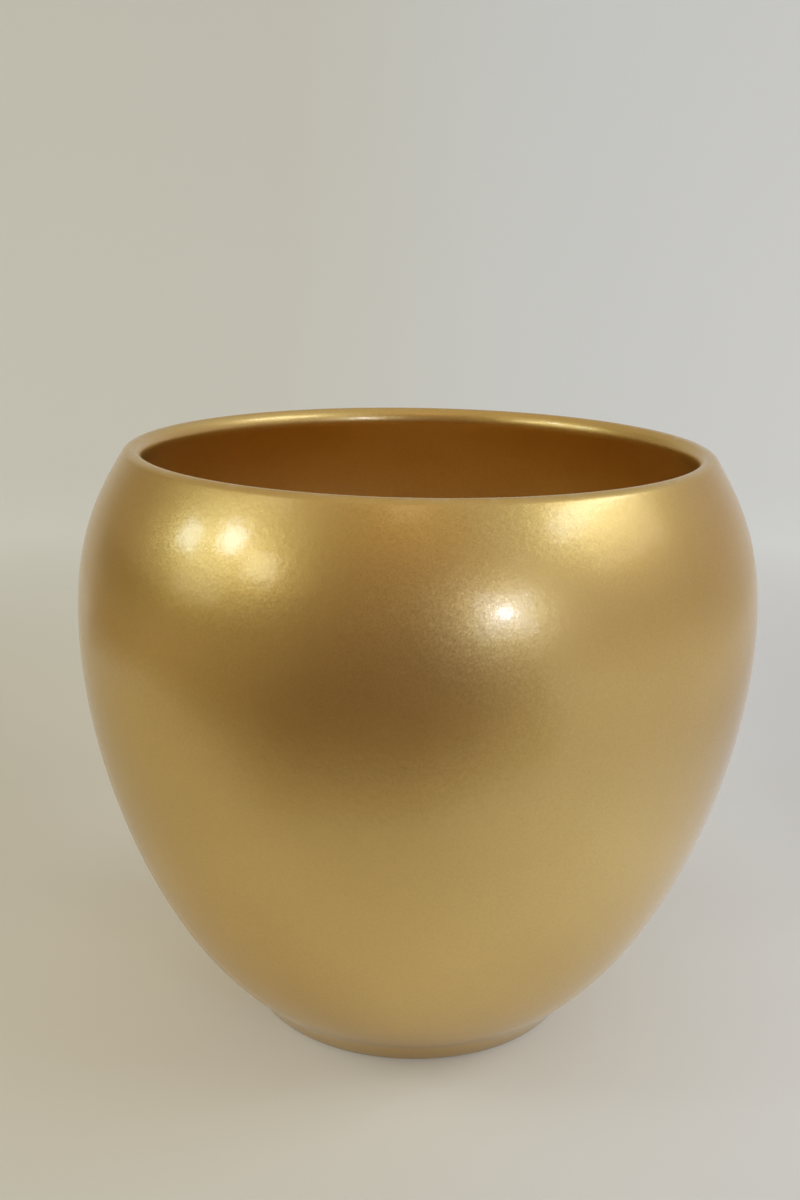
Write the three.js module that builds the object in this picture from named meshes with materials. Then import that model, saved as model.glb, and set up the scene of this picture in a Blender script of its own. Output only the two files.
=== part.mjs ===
// Bowl planter: a slip-cast ceramic pot, lacquered satin gold inside and out, with a drain
// hole in its base, a silicone plug that lifts out of the hole, and thin pads under its foot.
// Millimetres, +Z up. The origin is on the pot's axis, on the surface that it stands on.

import * as THREE from 'three';
import { mergeVertices } from 'three/addons/utils/BufferGeometryUtils.js';

// Outside of the pot. Heights are measured from the underside of the foot, whose radius is
// that of the flat ring, inside its rounded edge.
const bellyRadius = 127.3;
const bellyHeight = 157.3;
const shoulderRise = 62.7;
const openingRadius = 102.2;
const footRadius = 61.3;
const footHeight = 5.06;
const footSlantDegrees = 15;
const footFlareDegrees = 51.14;

// Fullness of the outline: each curve's two handles, as shares of the curve's chord.
const bodyPullAtFoot = 0.3096;
const bodyPullAtBelly = 0.3035;
const shoulderPullAtBelly = 0.443;
const shoulderPullAtLip = 0.333;

// Clay: its thickness in the wall and the base, and the soft edges that casting leaves.
const wallThickness = 8;
const baseThickness = 9;
const floorFillet = 30;
const footFillet = 9;
const footEdgeRadius = 1.5;
const edgeRadius = 0.8;

// Underside: a foot ring round a shallow recess, and the drain hole in the middle.
const footRingWidth = 11;
const recessDepth = 3;
const drainRadius = 11;

// Drain plug: moulded silicone of one even thickness, hollow from below, with a pull knob.
const plugSkin = 2.5;
const plugClearance = 0.3;
const plugSeatGap = 0.1;
const flangeOverlap = 6;
const stemReach = 1.4;
const stemTaper = 0.8;
const neckRadius = 4;
const neckFillet = 2;
const knobOverhang = 1.5;
const knobHalfHeight = 4;

// Foot pads: thin anti-slip dots, stuck under the foot ring and set back from its edges.
const padCount = 4;
const padSetback = 1;
const padThickness = 0.5;
const padGlue = 0.1;

// Fineness of the facets.
const potSegments = 60;
const plugSegments = 32;
const padSegments = 24;
const bodySteps = 14;
const shoulderSteps = 6;
const lipRiseSteps = 3;
const lipFallSteps = 6;
const filletSteps = 3;
const edgeSteps = 2;

const radians = THREE.MathUtils.degToRad;
const quarterTurn = 90;
const halfTurn = 180;

// A round stretch of an outline, between two angles in degrees, clockwise where they fall.
function arc(centre, radius, from, to, steps) {
  const clockwise = to < from;
  const curve = new THREE.EllipseCurve(
    centre.x, centre.y, radius, radius, radians(from), radians(to), clockwise);
  return curve.getPoints(steps);
}

// The way a cubic curve runs at a share of its length, which may lie before its start.
function wayAlong(curve, share) {
  const left = 1 - share;
  return new THREE.Vector2()
    .addScaledVector(curve.v1.clone().sub(curve.v0), left * left)
    .addScaledVector(curve.v2.clone().sub(curve.v1), 2 * left * share)
    .addScaledVector(curve.v3.clone().sub(curve.v2), share * share)
    .normalize();
}

// A point at a distance from a curve, on its left, which is the hollow side of the pot.
function besideCurve(curve, share, distance) {
  const along = wayAlong(curve, share);
  const inward = new THREE.Vector2(-along.y, along.x);
  return curve.getPoint(share).addScaledVector(inward, distance);
}

// The curve shifted towards the hollow side, run backwards from its end to the given share.
function innerFace(curve, distance, lastShare, steps) {
  const points = [];
  for (let step = 0; step <= steps; step++) {
    const share = THREE.MathUtils.lerp(1, lastShare, step / steps);
    points.push(besideCurve(curve, share, distance));
  }
  return points;
}

// Joins stretches of an outline into one, and drops points that repeat the one before.
function joinOutline(...stretches) {
  const samePlace = 1e-4;
  const points = [];
  for (const point of stretches.flat()) {
    const last = points.at(-1);
    if (!last || last.distanceTo(point) > samePlace) {
      points.push(point);
    }
  }
  return points;
}

// Turns an outline of radius and height into a closed solid about the Z axis.
function revolve(outline, segments) {
  const turned = new THREE.LatheGeometry(outline, segments);
  turned.rotateX(Math.PI / 2);
  turned.deleteAttribute('normal');
  turned.deleteAttribute('uv');
  const solid = mergeVertices(turned);
  solid.computeVertexNormals();
  return solid;
}

function piece(name, geometry, material) {
  const mesh = new THREE.Mesh(geometry, material);
  mesh.name = name;
  return mesh;
}

const floorHeight = recessDepth + baseThickness;

// Pot: one outline of even thickness, from the foot over the lip and back to the base.
function potOutline() {
  const potHeight = bellyHeight + shoulderRise;
  const lipRadius = wallThickness / 2;

  // The foot leans out a little above its rounded edge, and a hollow fillet turns it out into
  // the body.
  const slant = radians(footSlantDegrees);
  const flare = radians(footFlareDegrees);
  const slantWay = new THREE.Vector2(Math.sin(slant), Math.cos(slant));
  const slantOut = new THREE.Vector2(Math.cos(slant), -Math.sin(slant));
  const footEdgeCentre = new THREE.Vector2(footRadius, footEdgeRadius);
  const footEdge = arc(
    footEdgeCentre, footEdgeRadius, -quarterTurn, -footSlantDegrees, filletSteps);
  const sideStart = footEdge.at(-1);
  const sideLength = (footHeight - sideStart.y) / slantWay.y;
  const filletReach = footFillet * Math.tan((flare - slant) / 2);
  const filletStart = sideStart.clone().addScaledVector(slantWay, sideLength - filletReach);
  const filletCentre = filletStart.clone().addScaledVector(slantOut, footFillet);
  const fillet = arc(
    filletCentre, footFillet, halfTurn - footSlantDegrees, halfTurn - footFlareDegrees,
    filletSteps);

  // The body swells from there to the belly, where it stands upright.
  const up = new THREE.Vector2(0, 1);
  const flareWay = new THREE.Vector2(Math.sin(flare), Math.cos(flare));
  const bodyStart = fillet.at(-1);
  const belly = new THREE.Vector2(bellyRadius, bellyHeight);
  const bodyChord = bodyStart.distanceTo(belly);
  const body = new THREE.CubicBezierCurve(
    bodyStart,
    bodyStart.clone().addScaledVector(flareWay, bodyPullAtFoot * bodyChord),
    belly.clone().addScaledVector(up, -bodyPullAtBelly * bodyChord),
    belly);

  // The shoulder turns in as a round arch would: its lean at the lip is twice its chord's.
  const lipCentre = new THREE.Vector2(openingRadius + lipRadius, potHeight - lipRadius);
  const drawnIn = bellyRadius - lipRadius - lipCentre.x;
  const lean = 2 * Math.atan2(drawnIn, lipCentre.y - bellyHeight);
  const leanWay = new THREE.Vector2(-Math.sin(lean), Math.cos(lean));
  const lipOutside = new THREE.Vector2(Math.cos(lean), Math.sin(lean));
  const shoulderEnd = lipCentre.clone().addScaledVector(lipOutside, lipRadius);
  const shoulderChord = belly.distanceTo(shoulderEnd);
  const shoulder = new THREE.CubicBezierCurve(
    belly,
    belly.clone().addScaledVector(up, shoulderPullAtBelly * shoulderChord),
    shoulderEnd.clone().addScaledVector(leanWay, -shoulderPullAtLip * shoulderChord),
    shoulderEnd);

  // The lip is the wall's own thickness, rounded right over.
  const leanDegrees = THREE.MathUtils.radToDeg(lean);
  const lipEnd = halfTurn + leanDegrees;
  const lipRise = arc(lipCentre, lipRadius, leanDegrees, quarterTurn, lipRiseSteps);
  const lipFall = arc(lipCentre, lipRadius, quarterTurn, lipEnd, lipFallSteps);

  // The floor's fillet touches the inner wall and the floor, so its centre is where the
  // body, moved in by the wall and the fillet, comes to the fillet's height over the floor.
  const filletInset = wallThickness + floorFillet;
  const filletHeight = floorHeight + floorFillet;
  let below = -1;
  let above = 1;
  const halvings = 40;
  for (let halving = 0; halving < halvings; halving++) {
    const middle = (below + above) / 2;
    if (besideCurve(body, middle, filletInset).y < filletHeight) {
      below = middle;
    } else {
      above = middle;
    }
  }
  const wallEnd = above;
  const floorCentre = besideCurve(body, wallEnd, filletInset);
  const wallFoot = besideCurve(body, wallEnd, wallThickness);
  const wallFootAngle = THREE.MathUtils.radToDeg(
    Math.atan2(wallFoot.y - floorCentre.y, wallFoot.x - floorCentre.x));
  const floorCurve = arc(floorCentre, floorFillet, wallFootAngle, -quarterTurn, filletSteps);

  // The drain hole and the inside of the foot ring have soft edges too.
  const holeTop = new THREE.Vector2(drainRadius + edgeRadius, floorHeight - edgeRadius);
  const holeBottom = new THREE.Vector2(drainRadius + edgeRadius, recessDepth + edgeRadius);
  const recessRadius = footRadius - footRingWidth;
  const ringEdge = new THREE.Vector2(recessRadius + edgeRadius, edgeRadius);
  return joinOutline(
    footEdge,
    fillet,
    body.getPoints(bodySteps),
    shoulder.getPoints(shoulderSteps),
    lipRise,
    lipFall,
    innerFace(shoulder, wallThickness, 0, shoulderSteps),
    innerFace(body, wallThickness, wallEnd, bodySteps),
    floorCurve,
    arc(holeTop, edgeRadius, quarterTurn, halfTurn, edgeSteps),
    arc(holeBottom, edgeRadius, halfTurn, halfTurn + quarterTurn, edgeSteps),
    [new THREE.Vector2(recessRadius, recessDepth)],
    arc(ringEdge, edgeRadius, halfTurn, halfTurn + quarterTurn, edgeSteps),
    [footEdge[0]]);
}

// Plug: a flange that lies on the floor, a hollow stem in the hole and a knob to pull.
// Its heights are measured from the underside of the flange.
function plugOutline() {
  const stemTopRadius = drainRadius - plugClearance;
  const stemBottomRadius = stemTopRadius - stemTaper;
  const hollowRadius = stemBottomRadius - plugSkin;
  const stemBottom = -(plugSeatGap + baseThickness + stemReach);
  const stemEdgeCentre = new THREE.Vector2(
    stemBottomRadius - edgeRadius, stemBottom + edgeRadius);
  const rimRadius = plugSkin / 2;
  const rimCentre = new THREE.Vector2(drainRadius + flangeOverlap - rimRadius, rimRadius);
  const neckCentre = new THREE.Vector2(neckRadius + neckFillet, plugSkin + neckFillet);

  // The knob is a flattened ball that starts where it is as wide as the neck.
  const knobRadius = neckRadius + knobOverhang;
  const knobStart = Math.acos(neckRadius / knobRadius);
  const knobMiddle = neckCentre.y + knobHalfHeight * Math.sin(knobStart);
  const knob = new THREE.EllipseCurve(
    0, knobMiddle, knobRadius, knobHalfHeight, -knobStart, radians(quarterTurn));
  const knobTop = new THREE.Vector2(0, knobMiddle + knobHalfHeight);
  const knobSide = knob.getPoints(2 * filletSteps).slice(0, -1);
  return joinOutline(
    [new THREE.Vector2(0, 0)],
    [new THREE.Vector2(hollowRadius, 0)],
    [new THREE.Vector2(hollowRadius, stemBottom)],
    arc(stemEdgeCentre, edgeRadius, -quarterTurn, 0, edgeSteps),
    [new THREE.Vector2(stemTopRadius, 0)],
    arc(rimCentre, rimRadius, -quarterTurn, quarterTurn, 2 * edgeSteps),
    arc(neckCentre, neckFillet, halfTurn + quarterTurn, halfTurn, filletSteps),
    knobSide,
    [knobTop]);
}

const goldLacquer = new THREE.MeshStandardMaterial({
  color: 0xb08d4c,
  roughness: 0.35,
  metalness: 0.9,
});
const greySilicone = new THREE.MeshStandardMaterial({
  color: 0x3c3b39,
  roughness: 0.6,
  metalness: 0,
});
const padRubber = new THREE.MeshStandardMaterial({
  color: 0x26251f,
  roughness: 0.85,
  metalness: 0,
});

const planter = new THREE.Group();

// The pot stands on its pads, and the plug lies on the pot's floor.
const raised = new THREE.Group();
raised.position.z = padThickness + padGlue;
raised.add(piece('pot_body', revolve(potOutline(), potSegments), goldLacquer));

const drainPlug = piece('drain_plug', revolve(plugOutline(), plugSegments), greySilicone);
drainPlug.position.z = floorHeight + plugSeatGap;
raised.add(drainPlug);
planter.add(raised);

// The pads are spaced evenly, the first halfway between the front and the right.
const padCircle = footRadius - footRingWidth / 2;
const padRadius = footRingWidth / 2 - padSetback;
const padPitch = 2 * Math.PI / padCount;
for (let pad = 0; pad < padCount; pad++) {
  const disc = new THREE.CylinderGeometry(padRadius, padRadius, padThickness, padSegments);
  disc.rotateX(Math.PI / 2);
  const footPad = piece(`foot_pad_${pad + 1}`, disc, padRubber);
  const angle = (pad - 0.5) * padPitch;
  footPad.position.set(
    padCircle * Math.cos(angle), padCircle * Math.sin(angle), padThickness / 2);
  planter.add(footPad);
}

export default planter;
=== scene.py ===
# Bowl planter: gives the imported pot, its foot pads and its drain plug their finished shapes and
# surfaces, then stands them on a pale studio floor. Metres, +Z up, in the frame of the CAD part.

import math

import bpy
from mathutils import Matrix, Vector, noise


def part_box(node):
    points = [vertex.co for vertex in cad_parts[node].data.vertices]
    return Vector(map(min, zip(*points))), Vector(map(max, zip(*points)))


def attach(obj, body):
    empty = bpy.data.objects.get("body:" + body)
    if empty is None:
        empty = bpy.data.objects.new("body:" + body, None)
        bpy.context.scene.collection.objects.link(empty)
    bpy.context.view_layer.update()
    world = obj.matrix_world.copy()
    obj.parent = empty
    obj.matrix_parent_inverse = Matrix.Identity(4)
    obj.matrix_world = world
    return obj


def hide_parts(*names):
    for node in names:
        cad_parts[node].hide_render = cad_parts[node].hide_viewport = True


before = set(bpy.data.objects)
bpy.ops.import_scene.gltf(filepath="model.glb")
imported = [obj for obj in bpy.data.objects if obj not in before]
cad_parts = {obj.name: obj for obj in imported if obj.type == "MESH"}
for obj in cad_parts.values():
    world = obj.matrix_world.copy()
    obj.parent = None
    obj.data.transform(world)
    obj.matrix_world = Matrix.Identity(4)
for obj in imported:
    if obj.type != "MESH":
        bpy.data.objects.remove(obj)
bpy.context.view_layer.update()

# Pot body
# One slip-cast ceramic vessel: a low foot, a swelling belly, a shoulder drawn in to a full-round
# lip, and the same 8 mm of clay all the way down to a dished floor with a drain hole. It is
# sprayed inside and out with a satin gold lacquer full of fine metal flake; the underside is bare.
mm = 0.001
pot_low, pot_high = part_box("pot_body")
pot_lift = pot_low.z
pot_height = pot_high.z - pot_low.z
belly_radius = pot_high.x
belly_height = 157.3 * mm
opening_radius = 102.2 * mm
wall = 8 * mm
lip_radius = wall / 2
lip_reach = 2 * lip_radius
lip_droop = 1.1 * mm
droop_fades, droop_ends = 1.5 * lip_radius, 6 * lip_radius
foot_radius = 61.3 * mm
foot_edge_radius = 1.5 * mm
foot_slant = math.radians(28)
foot_height = 6.16 * mm
foot_fillet = 32.2 * mm
foot_flare = math.radians(48.32)
foot_ring_width = 11 * mm
recess_depth = 3 * mm
recess_fillet = 1.5 * mm
floor_height = 12 * mm
floor_fillet = 30 * mm
drain_radius = 11 * mm
edge_radius = 0.8 * mm
body_pulls = (0.312, 0.3018)
shoulder_pulls = (0.443, 0.333)
slack_depth = 0.12 * mm
slack_span = 75 * mm
slack_from, slack_full = floor_height, 5 * floor_height
floor_ring_radii = (44, 38, 32, 26, 20, 16, 13)
recess_ring_radii = (14, 20, 27, 34, 41, 46)
foot_ring_radii = (53.5, 56.3, 59)
pot_segments = 240
body_steps, shoulder_steps, lip_steps = 70, 36, 28
inner_body_steps, inner_shoulder_steps = 56, 30
foot_edge_steps, fillet_steps, ring_edge_steps, edge_steps = 10, 14, 8, 6
halvings = 40

thin_gold, thick_gold = (0.78, 0.552, 0.18), (0.735, 0.512, 0.16)
# Painted light: a lighter gold painted inside the pot below the lip.
lit_inside_gold = (0.86, 0.615, 0.225)
# Paler gold on the lip's crest: rubbed lacquer and a painted highlight.
rubbed_and_highlight_gold = (0.80, 0.63, 0.34)
# Greyer, darker gold at the foot: dust and painted shade.
dust_and_shade_gold = (0.58, 0.47, 0.36)
glancing_gold = (0.85, 0.76, 0.62)
dark_clay, pale_clay = (0.50, 0.40, 0.30), (0.62, 0.52, 0.41)
iron_brown = (0.22, 0.13, 0.08)
overspray_gold = (0.60, 0.43, 0.17)
deep_from = 50 * mm
rub_reach = 1.2 * mm
overspray_reach = 5 * mm
outside_finish, inside_finish, underside_finish = 0, 1, 2


def held(value, start, end):
    """How far a value has come from a start to an end, held between 0 and 1."""
    return min(1, max(0, (value - start) / (end - start)))


def arc(centre, radius, start, end, steps):
    """Points of a round stretch of an outline, between two angles in degrees."""
    points = []
    for step in range(steps + 1):
        angle = math.radians(start + (end - start) * step / steps)
        points.append(centre + radius * Vector((math.cos(angle), math.sin(angle))))
    return points


def on_curve(curve, share):
    """The place and the way of a curve of four points, at a share of its run."""
    ends = curve
    while len(ends) > 2:
        ends = [ends[k].lerp(ends[k + 1], share) for k in range(len(ends) - 1)]
    return ends[0].lerp(ends[1], share), (ends[1] - ends[0]).normalized()


def beside(curve, share, distance):
    """A point at a distance from the curve, towards the hollow of the pot."""
    place, way = on_curve(curve, share)
    return place + distance * Vector((-way.y, way.x))


def along(curve, distance, first, last, steps):
    """Points beside the curve, from the first share of its run to the last."""
    return [
        beside(curve, first + (last - first) * step / steps, distance)
        for step in range(steps + 1)
    ]


def pulled_curve(start, start_way, end, end_way, pulls):
    """A smooth curve between two points, pulled along each end's way by shares of its chord."""
    chord = (end - start).length
    return [
        start,
        start + pulls[0] * chord * start_way,
        end - pulls[1] * chord * end_way,
        end,
    ]


same_place = 0.01 * mm


def without_repeats(points):
    """The outline without points that repeat the one before, or the first at the end."""
    kept = []
    for point in points:
        if not kept or (point - kept[-1]).length > same_place:
            kept.append(point)
    if (kept[0] - kept[-1]).length < same_place:
        kept.pop()
    return kept


on_axis = 1e-7


def turned(name, outline, segments, lift):
    """A smooth mesh turned about the Z axis from a closed outline of radius and height."""
    vertices = []
    rings = []
    for point in outline:
        if point.x < on_axis:
            rings.append([len(vertices)] * segments)
            vertices.append((0, 0, point.y + lift))
            continue
        rings.append(range(len(vertices), len(vertices) + segments))
        for segment in range(segments):
            angle = 2 * math.pi * segment / segments
            vertices.append(
                (point.x * math.cos(angle), point.x * math.sin(angle), point.y + lift)
            )
    faces = []
    for k, ring in enumerate(rings):
        after = rings[(k + 1) % len(rings)]
        for segment in range(segments):
            beyond = (segment + 1) % segments
            corners = [ring[segment], ring[beyond], after[beyond], after[segment]]
            face = tuple(dict.fromkeys(corners))
            if len(face) > 2:
                faces.append(face)
    mesh = bpy.data.meshes.new(name)
    mesh.from_pydata(vertices, [], faces)
    mesh.validate()
    mesh.polygons.foreach_set("use_smooth", [True] * len(mesh.polygons))
    piece = bpy.data.objects.new(name, mesh)
    bpy.context.scene.collection.objects.link(piece)
    return piece


up = Vector((0, 1))
slant, flare = math.degrees(foot_slant), math.degrees(foot_flare)
foot_edge = arc(
    Vector((foot_radius, foot_edge_radius)), foot_edge_radius, -90, -slant, foot_edge_steps
)
slant_way = Vector((math.sin(foot_slant), math.cos(foot_slant)))
slant_out = Vector((math.cos(foot_slant), -math.sin(foot_slant)))
foot_side = (foot_height - foot_edge[-1].y) / slant_way.y
fillet_reach = foot_fillet * math.tan((foot_flare - foot_slant) / 2)
fillet_start = foot_edge[-1] + (foot_side - fillet_reach) * slant_way
fillet_centre = fillet_start + foot_fillet * slant_out
fillet = arc(fillet_centre, foot_fillet, 180 - slant, 180 - flare, fillet_steps)
belly = Vector((belly_radius, belly_height))
flare_way = Vector((math.sin(foot_flare), math.cos(foot_flare)))
body = pulled_curve(fillet[-1], flare_way, belly, up, body_pulls)

lip_centre = Vector((opening_radius + lip_radius, pot_height - lip_radius))
drawn_in = belly_radius - lip_radius - lip_centre.x
lean = 2 * math.atan2(drawn_in, lip_centre.y - belly_height)
lip_outside = lip_centre + lip_radius * Vector((math.cos(lean), math.sin(lean)))
lean_way = Vector((-math.sin(lean), math.cos(lean)))
shoulder = pulled_curve(belly, up, lip_outside, lean_way, shoulder_pulls)
lip = arc(lip_centre, lip_radius, math.degrees(lean), 180 + math.degrees(lean), lip_steps)

# On its inner side the lip sags a little below its round, and eases back into the wall.
lip_and_inside = lip + along(shoulder, wall, 1, 0, inner_shoulder_steps)
for point in lip_and_inside[len(lip) // 2:]:
    below_crest = pot_height - point.y
    begun = held(below_crest, 0, lip_radius)
    left_over = held(below_crest, droop_ends, droop_fades)
    point.y -= lip_droop * begun * left_over ** 2 * (3 - 2 * left_over)

# The floor's fillet is found by halving: its centre is where the wall, moved in by the wall and
# the fillet, comes to the fillet's height over the floor.
low_share, high_share = -1.0, 1.0
for halving in range(halvings):
    middle = (low_share + high_share) / 2
    if beside(body, middle, wall + floor_fillet).y < floor_height + floor_fillet:
        low_share = middle
    else:
        high_share = middle
wall_end = high_share
floor_centre = beside(body, wall_end, wall + floor_fillet)
to_wall = beside(body, wall_end, wall) - floor_centre
wall_angle = math.degrees(math.atan2(to_wall.y, to_wall.x))
floor_curve = arc(floor_centre, floor_fillet, wall_angle, -90, fillet_steps)
floor_flat = [Vector((radius * mm, floor_height)) for radius in floor_ring_radii]

recess_radius = foot_radius - foot_ring_width
recess_corner = Vector((recess_radius - recess_fillet, recess_depth - recess_fillet))
recess_flat = [Vector((radius * mm, recess_depth)) for radius in recess_ring_radii]
ring_corner = Vector((recess_radius + edge_radius, edge_radius))
ring_flat = [Vector((radius * mm, 0)) for radius in foot_ring_radii]
hole_top = Vector((drain_radius + edge_radius, floor_height - edge_radius))
hole_bottom = Vector((drain_radius + edge_radius, recess_depth + edge_radius))
pot_outline = without_repeats(
    foot_edge
    + fillet
    + along(body, 0, 0, 1, body_steps)
    + along(shoulder, 0, 0, 1, shoulder_steps)
    + lip_and_inside
    + along(body, wall, 1, wall_end, inner_body_steps)
    + floor_curve
    + floor_flat
    + arc(hole_top, edge_radius, 90, 180, edge_steps)
    + arc(hole_bottom, edge_radius, 180, 270, edge_steps)
    + recess_flat
    + arc(recess_corner, recess_fillet, 90, 0, edge_steps)
    + arc(ring_corner, edge_radius, 180, 270, ring_edge_steps)
    + ring_flat
)
pot = turned("pot", pot_outline, pot_segments, pot_lift)

# Clay shrinks a little unevenly as it dries, so the wall stands in from its true round by up to
# a quarter of a millimetre, least at the foot.
for vertex in pot.data.vertices:
    height = vertex.co.z - pot_lift
    share = held(height, slack_from, slack_full)
    inset = slack_depth * share * (1 + noise.noise(vertex.co / slack_span))
    across = vertex.co.xy
    if across.length > drain_radius + wall:
        vertex.co.xy = across - inset * across.normalized()


def node(tree, kind, **settings):
    """A new node of a material, with its properties and its inputs set by name."""
    made = tree.nodes.new(kind)
    for key, value in settings.items():
        if hasattr(made, key):
            setattr(made, key, value)
        else:
            made.inputs[key.replace("_", " ")].default_value = value
    return made


def blank_material(name):
    """A material of one Principled shader, with its tree and its shader."""
    material = bpy.data.materials.new(name)
    material.use_nodes = True
    tree = material.node_tree
    return material, tree, tree.nodes["Principled BSDF"]


def colour_ramp(tree, source, *stops):
    """The colour of a socket's value on a ramp of stops, each a position and a colour."""
    ramp = node(tree, "ShaderNodeValToRGB")
    elements = ramp.color_ramp.elements
    for index, (position, colour) in enumerate(stops):
        element = elements[index] if index < 2 else elements.new(position)
        element.position = position
        element.color = (*colour, 1)
    tree.links.new(source, ramp.inputs["Fac"])
    return ramp.outputs["Color"]


def spread(tree, source, low, high, result_low=0.0, result_high=1.0):
    """A socket's value, taken from one range to another and held at its ends."""
    step = node(
        tree,
        "ShaderNodeMapRange",
        From_Min=low,
        From_Max=high,
        To_Min=result_low,
        To_Max=result_high,
    )
    tree.links.new(source, step.inputs["Value"])
    return step.outputs["Result"]


def sum_of(tree, operation, first, second):
    """Two sockets, or a socket and a number, put together by a sum."""
    sum_node = node(tree, "ShaderNodeMath", operation=operation)
    for socket, value in zip(sum_node.inputs, (first, second)):
        if isinstance(value, bpy.types.NodeSocket):
            tree.links.new(value, socket)
        else:
            socket.default_value = value
    return sum_node.outputs["Value"]


def blended(tree, share, first, second):
    """A colour between two, each a socket or a colour, by a share that is a socket."""
    mix = node(tree, "ShaderNodeMix", data_type="RGBA")
    sockets = {socket.identifier: socket for socket in mix.inputs}
    tree.links.new(share, sockets["Factor_Float"])
    for name, value in (("A_Color", first), ("B_Color", second)):
        if isinstance(value, bpy.types.NodeSocket):
            tree.links.new(value, sockets[name])
        else:
            sockets[name].default_value = (*value, 1)
    return next(socket for socket in mix.outputs if socket.identifier == "Result_Color")


def gold_lacquer(name, depth_share):
    """Satin gold lacquer with metal flake; below the lip, by a share, drier and painted a lighter
    gold as painted light.
    """
    gold_material, gold, gold_shader = blank_material(name)
    gold_shader.inputs["Metallic"].default_value = 1.0
    gold_shader.inputs["Coat Weight"].default_value = 1.0
    gold_shader.inputs["Coat IOR"].default_value = 1.6
    gold_shader.inputs["Coat Roughness"].default_value = 0.15
    gold_shader.inputs["Specular Tint"].default_value = (*glancing_gold, 1)
    where = node(gold, "ShaderNodeTexCoord").outputs["Object"]

    # Colour: the spray lies a little thicker and thinner in soft clouds.
    clouds = node(gold, "ShaderNodeTexNoise", Scale=22.0, Detail=3.0, Roughness=0.5)
    gold.links.new(where, clouds.inputs["Vector"])
    sprayed = colour_ramp(gold, clouds.outputs["Fac"], (0.3, thick_gold), (0.7, thin_gold))
    parts = node(gold, "ShaderNodeSeparateXYZ")
    gold.links.new(where, parts.inputs["Vector"])
    rim_top = pot_lift + pot_height
    # Below the lip the gold is painted lighter, by the depth share: painted light inside the
    # hollow.
    depth = spread(
        gold, parts.outputs["Z"], rim_top - lip_reach, rim_top - deep_from, 0.0, depth_share
    )
    toned = blended(gold, depth, sprayed, lit_inside_gold)

    # Wear and painted light: the crest of the lip is painted paler, partly as lacquer rubbed by
    # handling and partly as a painted highlight; the foot is painted greyer and darker, partly as
    # dust and partly as painted shade.
    near_lip = spread(gold, parts.outputs["Z"], rim_top - rub_reach, rim_top)
    scuffs = node(gold, "ShaderNodeTexNoise", Scale=160.0, Detail=4.0, Roughness=0.7)
    gold.links.new(where, scuffs.inputs["Vector"])
    patchy = spread(gold, scuffs.outputs["Fac"], 0.5, 0.68)
    rub_and_highlight = sum_of(gold, "MULTIPLY", near_lip, patchy)
    bright = blended(gold, rub_and_highlight, toned, rubbed_and_highlight_gold)
    # Dust and painted shade: the gold is painted greyer and darker towards the bottom of the foot.
    near_foot = spread(gold, parts.outputs["Z"], pot_lift + foot_height, pot_lift, 0.0, 0.6)
    worn_lit_and_shaded = blended(gold, near_foot, bright, dust_and_shade_gold)

    # Flake: each scale of metal has its own shade and lies at its own slight tilt, and a few
    # stand up more and sparkle beside a highlight.
    flakes = node(gold, "ShaderNodeTexVoronoi", Scale=2300.0)
    gold.links.new(where, flakes.inputs["Vector"])
    flake_parts = node(gold, "ShaderNodeSeparateColor")
    gold.links.new(flakes.outputs["Color"], flake_parts.inputs["Color"])
    flaked = node(gold, "ShaderNodeVectorMath", operation="SCALE")
    gold.links.new(worn_lit_and_shaded, flaked.inputs["Vector"])
    gold.links.new(
        spread(gold, flake_parts.outputs["Red"], 0, 1, 0.96, 1.04), flaked.inputs["Scale"]
    )
    gold.links.new(flaked.outputs["Vector"], gold_shader.inputs["Base Color"])
    flake_lean = node(gold, "ShaderNodeVectorMath", operation="SUBTRACT")
    gold.links.new(flakes.outputs["Color"], flake_lean.inputs[0])
    flake_lean.inputs[1].default_value = (0.5, 0.5, 0.5)
    chance = node(gold, "ShaderNodeTexWhiteNoise")
    gold.links.new(flakes.outputs["Color"], chance.inputs["Vector"])
    stands_up = spread(gold, chance.outputs["Value"], 0.95, 0.99)
    lean_amount = spread(gold, stands_up, 0, 1, 0.05, 0.08)
    flake_tilt = node(gold, "ShaderNodeVectorMath", operation="SCALE")
    gold.links.new(flake_lean.outputs["Vector"], flake_tilt.inputs["Vector"])
    gold.links.new(lean_amount, flake_tilt.inputs["Scale"])

    # Orange peel: sprayed lacquer dries with a fine soft ripple.
    peel = node(gold, "ShaderNodeTexNoise", Scale=420.0, Detail=2.0)
    gold.links.new(where, peel.inputs["Vector"])
    peel_bump = node(gold, "ShaderNodeBump", Strength=0.25, Distance=0.0002)
    gold.links.new(peel.outputs["Fac"], peel_bump.inputs["Height"])
    tilted = node(gold, "ShaderNodeVectorMath", operation="ADD")
    gold.links.new(peel_bump.outputs["Normal"], tilted.inputs[0])
    gold.links.new(flake_tilt.outputs["Vector"], tilted.inputs[1])
    levelled = node(gold, "ShaderNodeVectorMath", operation="NORMALIZE")
    gold.links.new(tilted.outputs["Vector"], levelled.inputs[0])
    gold.links.new(levelled.outputs["Vector"], gold_shader.inputs["Normal"])
    gold.links.new(peel_bump.outputs["Normal"], gold_shader.inputs["Coat Normal"])

    # Sheen: duller deep inside and where the lip is rubbed, sharper on a standing flake.
    dullness = spread(gold, clouds.outputs["Fac"], 0, 1, 0.34, 0.42)
    drier = sum_of(gold, "MULTIPLY", depth, 0.22)
    scuffed = sum_of(gold, "MULTIPLY", rub_and_highlight, 0.08)
    glint = sum_of(gold, "MULTIPLY", stands_up, -0.04)
    dulled = sum_of(gold, "ADD", sum_of(gold, "ADD", dullness, drier), scuffed)
    gold.links.new(sum_of(gold, "ADD", dulled, glint), gold_shader.inputs["Roughness"])
    return gold_material


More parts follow.
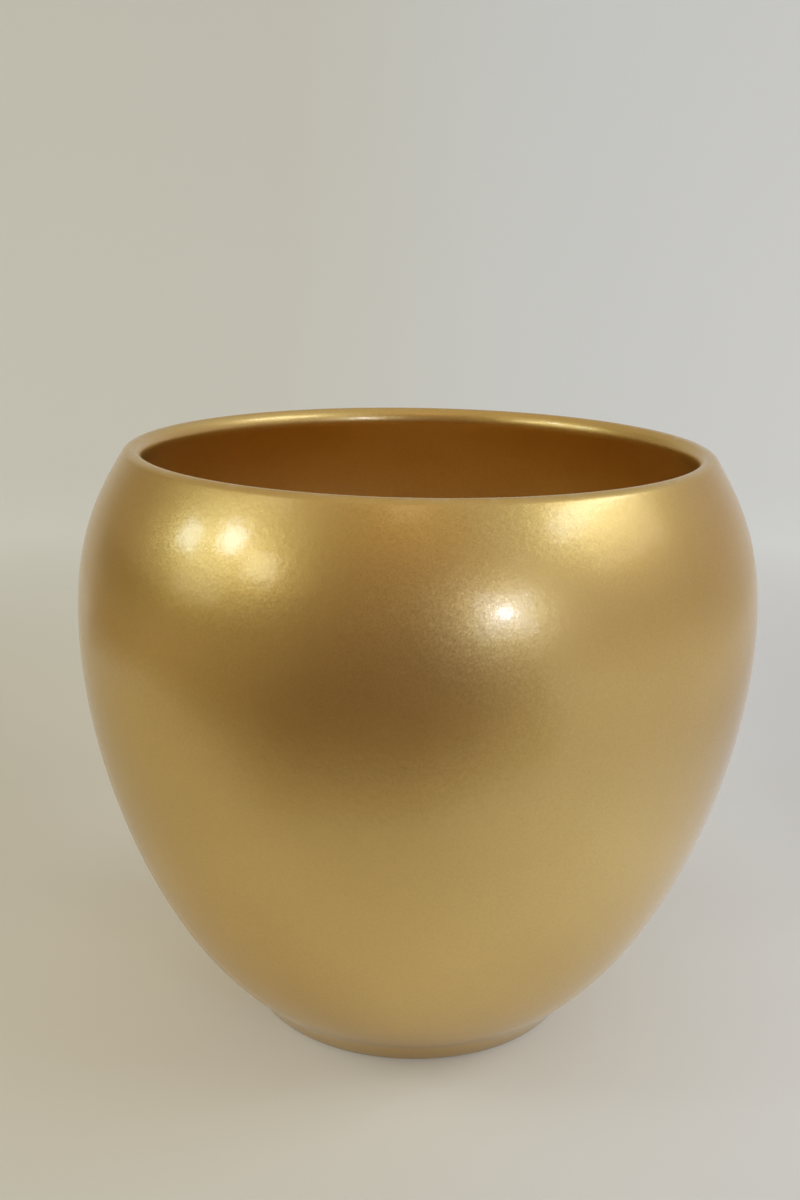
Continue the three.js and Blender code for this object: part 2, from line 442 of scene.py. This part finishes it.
def bare_clay(name):
    """Fired clay with iron specks and a breath of gold overspray on the rim of the foot."""
    clay_material, clay, clay_shader = blank_material(name)
    where = node(clay, "ShaderNodeTexCoord").outputs["Object"]
    tone = node(clay, "ShaderNodeTexNoise", Scale=60.0, Detail=6.0, Roughness=0.6)
    clay.links.new(where, tone.inputs["Vector"])
    fired = colour_ramp(clay, tone.outputs["Fac"], (0.3, dark_clay), (0.7, pale_clay))
    specks = node(clay, "ShaderNodeTexVoronoi", Scale=420.0)
    clay.links.new(where, specks.inputs["Vector"])
    speck_share = spread(clay, specks.outputs["Distance"], 0.16, 0.08)
    specked = blended(clay, speck_share, fired, iron_brown)

    flat = node(clay, "ShaderNodeVectorMath", operation="MULTIPLY")
    clay.links.new(where, flat.inputs[0])
    flat.inputs[1].default_value = (1, 1, 0)
    from_axis = node(clay, "ShaderNodeVectorMath", operation="LENGTH")
    clay.links.new(flat.outputs["Vector"], from_axis.inputs[0])
    outward = spread(clay, from_axis.outputs["Value"], foot_radius - overspray_reach, foot_radius)
    drift = spread(clay, tone.outputs["Fac"], 0.35, 0.65)
    overspray = sum_of(clay, "MULTIPLY", outward, drift)
    dusted = blended(clay, overspray, specked, overspray_gold)
    clay.links.new(dusted, clay_shader.inputs["Base Color"])
    clay.links.new(spread(clay, overspray, 0, 1, 0.0, 0.8), clay_shader.inputs["Metallic"])
    dry = spread(clay, tone.outputs["Fac"], 0, 1, 0.8, 0.95)
    clay.links.new(dry, clay_shader.inputs["Roughness"])

    grain = node(clay, "ShaderNodeTexNoise", Scale=900.0, Detail=4.0)
    clay.links.new(where, grain.inputs["Vector"])
    grain_bump = node(clay, "ShaderNodeBump", Strength=0.5, Distance=0.0002)
    clay.links.new(grain.outputs["Fac"], grain_bump.inputs["Height"])
    clay.links.new(grain_bump.outputs["Normal"], clay_shader.inputs["Normal"])
    return clay_material


pot.data.materials.append(gold_lacquer("gold_lacquer", 0.0))
# The inside copy of the lacquer is painted a lighter gold below the lip: painted light.
pot.data.materials.append(gold_lacquer("gold_lacquer_inside", 1.0))
pot.data.materials.append(bare_clay("bare_clay"))
lip_foot = pot_height - lip_reach
for face in pot.data.polygons:
    height = face.center.z - pot_lift
    from_axis = face.center.xy.length
    faces_axis = face.normal.xy.dot(face.center.xy) < 0
    on_floor = from_axis < recess_radius and face.normal.z > 0.5
    if height < recess_depth + edge_radius and from_axis < foot_radius:
        face.material_index = underside_finish
    elif height < lip_foot and (faces_axis or on_floor):
        face.material_index = inside_finish
    else:
        face.material_index = outside_finish
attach(pot, "pot")
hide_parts("pot_body")

# Foot pads
# Four thin dots of black rubber, punched from a sheet and stuck under the foot ring, so that the
# bare clay neither slides on a shelf nor scratches it.
pad_count = 4
pad_segments = 48
pad_burr = 0.06 * mm
pad_round = 0.16 * mm
pad_dark, pad_pale = (0.022, 0.022, 0.021), (0.04, 0.04, 0.038)
dust_grey = (0.22, 0.21, 0.19)


def rubber(name, dark, pale, dullest, brightest, grain_scale):
    """Matt rubber between two tones and two roughnesses, with a moulded grain and some dust."""
    rubber_material, tree, shader = blank_material(name)
    shader.inputs["Specular IOR Level"].default_value = 0.35
    where = node(tree, "ShaderNodeTexCoord").outputs["Object"]
    bloom = node(tree, "ShaderNodeTexNoise", Scale=140.0, Detail=5.0, Roughness=0.65)
    tree.links.new(where, bloom.inputs["Vector"])
    tone = colour_ramp(tree, bloom.outputs["Fac"], (0.35, dark), (0.7, pale))
    dust = node(tree, "ShaderNodeTexNoise", Scale=1800.0, Detail=2.0)
    tree.links.new(where, dust.inputs["Vector"])
    facing = node(tree, "ShaderNodeNewGeometry")
    facing_parts = node(tree, "ShaderNodeSeparateXYZ")
    tree.links.new(facing.outputs["Normal"], facing_parts.inputs["Vector"])
    lies_up = spread(tree, facing_parts.outputs["Z"], 0.6, 1.0)
    settled = sum_of(tree, "MULTIPLY", lies_up, spread(tree, dust.outputs["Fac"], 0.6, 0.75))
    dusty = blended(tree, settled, tone, dust_grey)
    tree.links.new(dusty, shader.inputs["Base Color"])
    tree.links.new(
        spread(tree, bloom.outputs["Fac"], 0.3, 0.7, brightest, dullest),
        shader.inputs["Roughness"],
    )
    grain = node(tree, "ShaderNodeTexNoise", Scale=grain_scale, Detail=3.0)
    tree.links.new(where, grain.inputs["Vector"])
    grain_bump = node(tree, "ShaderNodeBump", Strength=0.4, Distance=0.0001)
    tree.links.new(grain.outputs["Fac"], grain_bump.inputs["Height"])
    tree.links.new(grain_bump.outputs["Normal"], shader.inputs["Normal"])
    return rubber_material


pad_rubber = rubber("pad_rubber", pad_dark, pad_pale, 0.9, 0.75, 2400.0)
for number in range(1, pad_count + 1):
    pad_low, pad_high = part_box(f"foot_pad_{number}")
    pad_radius = (pad_high.x - pad_low.x) / 2
    pad_thickness = pad_high.z - pad_low.z
    pad_outline = (
        [Vector((0, 0)), Vector((pad_radius / 2, 0))]
        + arc(Vector((pad_radius - pad_round, pad_round)), pad_round, -90, 0, 5)
        + arc(Vector((pad_radius - pad_burr, pad_thickness - pad_burr)), pad_burr, 0, 90, 3)
        + [Vector((pad_radius / 2, pad_thickness)), Vector((0, pad_thickness))]
    )
    pad = turned(f"pad_{number}", pad_outline, pad_segments, pad_low.z)
    pad_middle = (pad_low + pad_high) / 2
    pad.data.transform(Matrix.Translation((pad_middle.x, pad_middle.y, 0)))
    pad.data.materials.append(pad_rubber)
    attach(pad, "pot")
    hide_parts(f"foot_pad_{number}")

# Drain plug
# A moulded silicone stopper: a hollow, slightly tapered stem with two sealing ribs sits in the
# drain hole, a flange lies over the hole's edge, and a knob on a neck is there to pull it out by.
plug_low, plug_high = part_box("drain_plug")
plug_segments = 120
seam_height = 0.1 * mm
flange_radius = plug_high.x - seam_height
flange_thickness = 2.5 * mm
stem_depth = 10.5 * mm
stem_top_radius = 10.7 * mm
stem_bottom_radius = 9.9 * mm
stem_skin = 2.5 * mm
rib_height = 0.14 * mm
rib_half_width = 0.5 * mm
rib_places = (0.62, 0.30)
neck_radius = 4 * mm
neck_fillet = 2 * mm
knob_radius = 5.5 * mm
gate_radius = 1.3 * mm
gate_depth = 0.3 * mm
stem_steps, knob_steps = 40, 36
flange_ring_radii = (13, 10, 8)
on_seam_line = 1e-6
silicone_dark, silicone_pale = (0.042, 0.042, 0.040), (0.062, 0.062, 0.059)
plug_lift = plug_low.z + stem_depth
plug_top = plug_high.z - plug_lift

hollow_radius = stem_bottom_radius - stem_skin
stem_bottom = -stem_depth
stem_foot = Vector((stem_bottom_radius - edge_radius, stem_bottom + edge_radius))
stem_side = []
for place in range(stem_steps + 1):
    share = place / stem_steps
    height = stem_bottom + edge_radius + share * (stem_depth - edge_radius)
    radius = stem_bottom_radius + share * (stem_top_radius - stem_bottom_radius)
    for rib in rib_places:
        away = (height - stem_bottom * rib) / rib_half_width
        radius += rib_height * math.exp(-away * away)
    stem_side.append(Vector((radius, height)))
flange_round = flange_thickness / 2
flange_rim = Vector((flange_radius - flange_round, flange_round))
neck_corner = Vector((neck_radius + neck_fillet, flange_thickness + neck_fillet))
knob_start = math.acos(neck_radius / knob_radius)
knob_low = flange_thickness + neck_fillet
knob_half_height = (plug_top - knob_low) / (1 + math.sin(knob_start))
knob_middle = plug_top - knob_half_height
knob = []
for step in range(knob_steps + 1):
    angle = -knob_start + (math.pi / 2 + knob_start) * step / knob_steps
    knob_level = knob_middle + knob_half_height * math.sin(angle)
    point = Vector((knob_radius * math.cos(angle), knob_level))
    dip = max(0, 1 - (point.x / gate_radius) ** 2) if angle > 0 else 0
    knob.append(point - Vector((0, gate_depth * dip * dip)))
knob[-1].x = 0
plug_outline = without_repeats(
    [Vector((0, 0)), Vector((hollow_radius / 2, 0))]
    + arc(Vector((hollow_radius - edge_radius, -edge_radius)), edge_radius, 90, 0, 5)
    + [Vector((hollow_radius, stem_bottom / 2)), Vector((hollow_radius, stem_bottom))]
    + arc(stem_foot, edge_radius, -90, 0, 6)
    + stem_side
    + arc(flange_rim, flange_round, -90, 90, 14)
    + [Vector((radius * mm, flange_thickness)) for radius in flange_ring_radii]
    + arc(neck_corner, neck_fillet, 270, 180, 8)
    + knob
)
plug = turned("plug", plug_outline, plug_segments, plug_lift)

# Two halves of the mould leave a fine seam down the plug's left and right.
for vertex in plug.data.vertices:
    on_seam = abs(vertex.co.y) < on_seam_line and abs(vertex.co.x) > gate_radius
    outside = vertex.co.z - plug_lift > 0
    if on_seam and outside:
        vertex.co.x += math.copysign(seam_height, vertex.co.x)
plug_silicone = rubber("plug_silicone", silicone_dark, silicone_pale, 0.66, 0.5, 1300.0)
plug.data.materials.append(plug_silicone)
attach(plug, "plug")
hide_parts("drain_plug")

# Studio
# A pale floor that curves up all round into a wall, so that no edge shows behind the pot. Its
# colour is painted light: warm at the left and cooler at the right, for warm daylight from the
# left and cooler light from the right, with painted shade at the sides.
stage_flat = 1.2
stage_curve = 1.0
stage_top = 1.5
stage_segments = 96
stage_steps = 24
stage_ring_radii = (0, 0.2, 0.5, 0.9)
# Colours of painted light and shade on the stage: a golden pool of light, a dimmer floor, side
# shade and a warmer wall seen in reflections.
gold_glow = (0.72, 0.62, 0.42)
dim_floor = (0.3, 0.27, 0.23)
low_shade = (0.2, 0.17, 0.13)
warm_wall = (0.72, 0.57, 0.40)
stage_outline = [Vector((radius, 0)) for radius in stage_ring_radii]
stage_outline += arc(Vector((stage_flat, stage_curve)), stage_curve, -90, 0, stage_steps)
stage_outline.append(Vector((stage_flat + stage_curve, stage_top)))


def sheet_of_rings(name, rings, closed):
    """A smooth open sheet through rings of points, joined end to end where it is closed."""
    length = len(rings[0])
    faces = []
    for k in range(len(rings) - 1):
        for place in range(length if closed else length - 1):
            beyond = (place + 1) % length
            low, high = k * length, (k + 1) * length
            faces.append((low + place, low + beyond, high + beyond, high + place))
    mesh = bpy.data.meshes.new(name)
    mesh.from_pydata([point for ring in rings for point in ring], [], faces)
    mesh.validate()
    mesh.polygons.foreach_set("use_smooth", [True] * len(mesh.polygons))
    sheet = bpy.data.objects.new(name, mesh)
    bpy.context.scene.collection.objects.link(sheet)
    return sheet


turns = [2 * math.pi * segment / stage_segments for segment in range(stage_segments)]
stage_rings = [
    [(point.x * math.cos(turn), point.x * math.sin(turn), point.y) for turn in turns]
    for point in stage_outline
]
studio_floor = sheet_of_rings("studio_floor", stage_rings, True)
floor_material, floor_tree, floor_shader = blank_material("pale_floor")
floor_shader.inputs["Roughness"].default_value = 0.8
floor_shader.inputs["Specular IOR Level"].default_value = 0.0
floor_place = node(floor_tree, "ShaderNodeTexCoord").outputs["Object"]
floor_parts = node(floor_tree, "ShaderNodeSeparateXYZ")
floor_tree.links.new(floor_place, floor_parts.inputs["Vector"])
floor_x, floor_y, floor_z = floor_parts.outputs
# Painted light and shade: floor and wall run from warm at the left to cool at the right, and are
# painted darker towards their two sides.
sideways = spread(floor_tree, floor_x, -2, 2)
floor_colour = colour_ramp(
    floor_tree,
    sideways,
    (0.40, (0.52, 0.47, 0.33)),
    (0.46, (0.70, 0.665, 0.56)),
    (0.545, (0.765, 0.77, 0.78)),
    (0.60, (0.51, 0.49, 0.535)),
)
wall_colour = colour_ramp(
    floor_tree,
    sideways,
    (0.08, (0.38, 0.31, 0.18)),
    (0.25, (0.69, 0.68, 0.59)),
    (0.45, (0.695, 0.685, 0.615)),
    (0.55, (0.735, 0.75, 0.75)),
    (0.75, (0.80, 0.815, 0.84)),
    (0.92, (0.67, 0.63, 0.70)),
)
from_middle = node(floor_tree, "ShaderNodeVectorMath", operation="LENGTH")
floor_tree.links.new(floor_place, from_middle.inputs[0])
far_off = from_middle.outputs["Value"]
backdrop = spread(floor_tree, far_off, 0.3, 0.9)

# Painted light and shade: the floor is painted golden at the pot's left for the light the pot
# throws there, and painted darker to front and back.
near_pot = spread(floor_tree, far_off, 0.2, 0.06)
to_left = spread(floor_tree, floor_x, 0.12, -0.12, 0.05, 0.5)
gold_light_share = sum_of(floor_tree, "MULTIPLY", near_pot, to_left)
gold_lit_floor = blended(floor_tree, gold_light_share, floor_colour, gold_glow)
nearer = spread(floor_tree, floor_y, -0.09, -0.2, 0.0, 0.28)
farther = spread(floor_tree, floor_y, 0.02, 0.2, 0.0, 0.2)
off_middle = sum_of(floor_tree, "MAXIMUM", nearer, farther)
dimmed = blended(floor_tree, off_middle, gold_lit_floor, dim_floor)
lit = blended(floor_tree, backdrop, dimmed, wall_colour)

# Painted shade: at the sides the foot of the wall is painted darker, except far behind.
aside = spread(floor_tree, sum_of(floor_tree, "ABSOLUTE", floor_x, 0), 0.6, 0.9)
low_down = spread(floor_tree, floor_z, 0.45, 0.1, 0.0, 0.45)
not_behind = spread(floor_tree, floor_y, 1.2, 0.6)
aside_low = sum_of(floor_tree, "MULTIPLY", aside, low_down)
shade_share = sum_of(floor_tree, "MULTIPLY", aside_low, not_behind)
pale = blended(floor_tree, shade_share, lit, low_shade)
floor_tree.links.new(pale, floor_shader.inputs["Base Color"])

# A share of what the camera and the lacquer see of the stage is its plain colour, so that it stays
# even. The lacquer's reflections see the wall painted a little warmer: a painted reflection
# colour.
ray = node(floor_tree, "ShaderNodeLightPath")
wall_warmth = spread(floor_tree, backdrop, 0, 1, 0, 0.5)
warmth = sum_of(floor_tree, "MULTIPLY", ray.outputs["Is Glossy Ray"], wall_warmth)
glow_colour = blended(floor_tree, warmth, pale, warm_wall)
floor_glow = node(floor_tree, "ShaderNodeEmission")
floor_tree.links.new(glow_colour, floor_glow.inputs["Color"])
seen_share = spread(floor_tree, backdrop, 0, 1, 0.2, 0.4)
seen = sum_of(floor_tree, "MULTIPLY", ray.outputs["Is Camera Ray"], seen_share)
floor_only = spread(floor_tree, backdrop, 0, 1, 1, 0)
# Painted reflection: the lacquer sees the floor partly as its plain glowing colour, most at the
# right, less at the left and by the foot, so that those places look lit in its reflections.
right_share = spread(floor_tree, floor_x, 0, 0.32, 0.1, 0.9)
left_share = spread(floor_tree, floor_x, -0.15, -0.35, 0, 0.35)
by_foot = spread(floor_tree, far_off, 0.13, 0.07, 0, 0.17)
aside_share = sum_of(floor_tree, "MAXIMUM", right_share, left_share)
level_share = sum_of(floor_tree, "MAXIMUM", aside_share, by_foot)
floor_share = sum_of(floor_tree, "MULTIPLY", floor_only, level_share)
wall_share = sum_of(floor_tree, "MULTIPLY", backdrop, 0.4)
mirrored_share = sum_of(floor_tree, "ADD", floor_share, wall_share)
mirrored = sum_of(floor_tree, "MULTIPLY", ray.outputs["Is Glossy Ray"], mirrored_share)
floor_mix = node(floor_tree, "ShaderNodeMixShader")
floor_tree.links.new(sum_of(floor_tree, "ADD", seen, mirrored), floor_mix.inputs["Fac"])
floor_tree.links.new(floor_shader.outputs["BSDF"], floor_mix.inputs[1])
floor_tree.links.new(floor_glow.outputs["Emission"], floor_mix.inputs[2])
floor_out = floor_tree.nodes["Material Output"]
floor_tree.links.new(floor_mix.outputs["Shader"], floor_out.inputs["Surface"])
studio_floor.data.materials.append(floor_material)

# A dark sheet of painted shade lies in front and hangs behind the camera: it stands for shade in
# the lacquer's reflections, and only those reflections meet it. It lies further off and lower at
# its two ends, and its edges fade into the floor.
shade_sheet_rise = [0.004, 0.01, 0.05, 0.2, 0.5, 0.9, 1.4]
shade_sheet_out = [0.0, 0.3, 0.6, 0.74, 0.8, 0.8, 0.8]
shade_sheet_from, shade_sheet_to, shade_sheet_segments = -128, 38, 56
shade_sheet_gap, more_gap_left, more_gap_right = 0.25, 0.32, 0.12
lower_left, lower_right = 0.78, 0.93
edge_per_degree = 0.012
edge_width = 0.17
# Painted shade: the sheet is darkest at its foot and lighter up its height and at the left, and
# paler at its fading edges.
low_sheet_shade, high_sheet_shade = (0.21, 0.135, 0.095), (0.53, 0.37, 0.25)
left_sheet_shade = (0.36, 0.275, 0.162)
faded_sheet_shade = (0.50, 0.44, 0.34)
shade_sheet_rings = []
edge_distances = []
for out, rise in zip(shade_sheet_out, shade_sheet_rise):
    ring = []
    for segment in range(shade_sheet_segments + 1):
        azimuth = shade_sheet_from + (shade_sheet_to - shade_sheet_from) * segment / shade_sheet_segments
        more_gap = more_gap_left * held(azimuth, -40, -88) + more_gap_right * held(azimuth, 0, 38)
        hang = 1 - lower_left * held(azimuth, -35, -50) - lower_right * held(azimuth, 23, 32)
        angle = math.radians(azimuth)
        reach = shade_sheet_gap + more_gap + out
        ring.append((reach * math.sin(angle), -reach * math.cos(angle), rise * hang))
        to_end = min(azimuth - shade_sheet_from, shade_sheet_to - azimuth)
        edge_distances.append(min(out, edge_per_degree * to_end))
    shade_sheet_rings.append(ring)
shade_sheet = sheet_of_rings("shade_sheet", shade_sheet_rings, False)
shade_sheet.visible_camera = False
shade_sheet.visible_diffuse = False
shade_sheet.visible_shadow = False
shade_sheet_material, shade_sheet_tree, shade_sheet_shader = blank_material("shade_sheet")
shade_sheet_shader.inputs["Roughness"].default_value = 0.9
shade_sheet_shader.inputs["Specular IOR Level"].default_value = 0.0
shade_sheet_place = node(shade_sheet_tree, "ShaderNodeTexCoord").outputs["Object"]
shade_sheet_parts = node(shade_sheet_tree, "ShaderNodeSeparateXYZ")
shade_sheet_tree.links.new(shade_sheet_place, shade_sheet_parts.inputs["Vector"])
front_sheet_shade = colour_ramp(
    shade_sheet_tree, shade_sheet_parts.outputs["Z"], (0.05, low_sheet_shade), (1.0, high_sheet_shade)
)
at_left = spread(shade_sheet_tree, shade_sheet_parts.outputs["X"], -0.3, -0.9)
sheet_shade_colour = blended(shade_sheet_tree, at_left, front_sheet_shade, left_sheet_shade)
from_edge = shade_sheet.data.attributes.new("from_edge", "FLOAT", "POINT")
from_edge.data.foreach_set("value", edge_distances)
edge_place = node(shade_sheet_tree, "ShaderNodeAttribute", attribute_name="from_edge")
faded = spread(shade_sheet_tree, edge_place.outputs["Fac"], edge_width, 0.0)
faded_sheet_colour = blended(shade_sheet_tree, faded, sheet_shade_colour, faded_sheet_shade)
shade_sheet_tree.links.new(faded_sheet_colour, shade_sheet_shader.inputs["Base Color"])
shade_sheet.data.materials.append(shade_sheet_material)

# A soft ceiling light closes the stage from above: warm at the left, neutral at the right.
low_sky, high_sky = (0.39, 0.34, 0.235), (0.53, 0.445, 0.32)
right_sky = (0.60, 0.60, 0.58)
world = bpy.data.worlds.new("soft_light")
bpy.context.scene.world = world
world.use_nodes = True
sky = world.node_tree
sky_parts = node(sky, "ShaderNodeSeparateXYZ")
sky.links.new(node(sky, "ShaderNodeTexCoord").outputs["Generated"], sky_parts.inputs["Vector"])
left_sky = colour_ramp(sky, sky_parts.outputs["Z"], (0.3, low_sky), (0.95, high_sky))
to_sky_right = spread(sky, sky_parts.outputs["X"], 0.0, 0.8)
sky_colour = blended(sky, to_sky_right, left_sky, right_sky)
sky.links.new(sky_colour, sky.nodes["Background"].inputs["Color"])

lamp_aim = Vector((0, 0, 0.15))


def lamp(name, azimuth, elevation, distance, width, height, radiance, colour):
    """A soft lamp that faces the pot; azimuth is from the front, to the right of the picture."""
    light = bpy.data.lights.new(name, "AREA")
    light.shape = "RECTANGLE"
    light.size = width
    light.size_y = height
    light.energy = radiance * math.pi * width * height
    light.color = colour
    stand = bpy.data.objects.new(name, light)
    bpy.context.scene.collection.objects.link(stand)
    turn, rise = math.radians(azimuth), math.radians(elevation)
    way = Vector(
        (math.sin(turn) * math.cos(rise), -math.cos(turn) * math.cos(rise), math.sin(rise))
    )
    stand.location = lamp_aim + distance * way
    stand.rotation_euler = way.to_track_quat("Z", "Y").to_euler()
    stand.visible_camera = False
    return stand


# Panes of light that mirror sharply in the clear coat.
lamp("left_window", -69, 30, 1.5, 0.21, 0.21, 7.0, (0.86, 1.04, 1.25))
lamp("left_pane", -85, 24, 1.5, 0.21, 0.21, 4.3, (0.85, 1.08, 1.2))
lamp("left_low_pane", -54, 25, 1.5, 0.28, 0.28, 2.8, (0.95, 1.02, 0.9))
lamp("right_window", 73, 41, 1.5, 0.9, 0.18, 2.8, (0.88, 1.04, 1.2))
lamp("front_lamp", 25.5, 15, 1.0, 0.075, 0.075, 19, (0.9, 1.0, 1.3))

# Fainter glows that spread round the panes.
lamp("front_glow", 26, 15, 1.03, 0.3, 0.3, 1.4, (0.7, 0.96, 1.7))
lamp("left_glow", -74, 14, 1.6, 0.5, 0.4, 0.7, (0.95, 1.0, 0.85))
lamp("left_high_glow", -66, 46, 1.6, 0.4, 0.22, 0.8, (0.95, 1.0, 0.85))
lamp("right_glow", 78, 37, 1.6, 0.9, 0.8, 0.62, (0.96, 1.0, 0.95))
lamp("ceiling_glow", -5, 52, 1.6, 0.3, 0.25, 1.1, (1.0, 0.72, 0.45))

# Fill lamps light the floor and the clay, and are kept out of the lacquer's reflections.
fill_distance, fill_width, fill_height = 1.7, 0.9, 0.5
fill_colour = (0.93, 1.0, 1.06)
for name, azimuth, elevation, radiance in (
    ("front_fill", 0, 46, 0.3),
    ("left_fill", -92, 26, 5.3),
    ("right_fill", 92, 26, 5.7),
):
    fill = lamp(
        name,
        azimuth,
        elevation,
        fill_distance,
        fill_width,
        fill_height,
        radiance,
        fill_colour,
    )
    fill.visible_glossy = False

# Camera
# It stands half a metre off, a little above the rim, and looks down on the pot.
camera_place = (-0.00648, -0.53112, 0.30234)
camera_dip = math.radians(14.969)
camera_roll = math.radians(0.890)
camera = bpy.data.cameras.new("camera")
camera.sensor_width = 36
camera.lens = 42.93
tripod = bpy.data.objects.new("camera", camera)
bpy.context.scene.collection.objects.link(tripod)
tripod.location = camera_place
tripod.rotation_euler = (math.pi / 2 - camera_dip, 0, 0)
tripod.rotation_euler.rotate_axis("Z", camera_roll)
bpy.context.scene.camera = tripod

bpy.context.scene.view_settings.view_transform = "Standard"
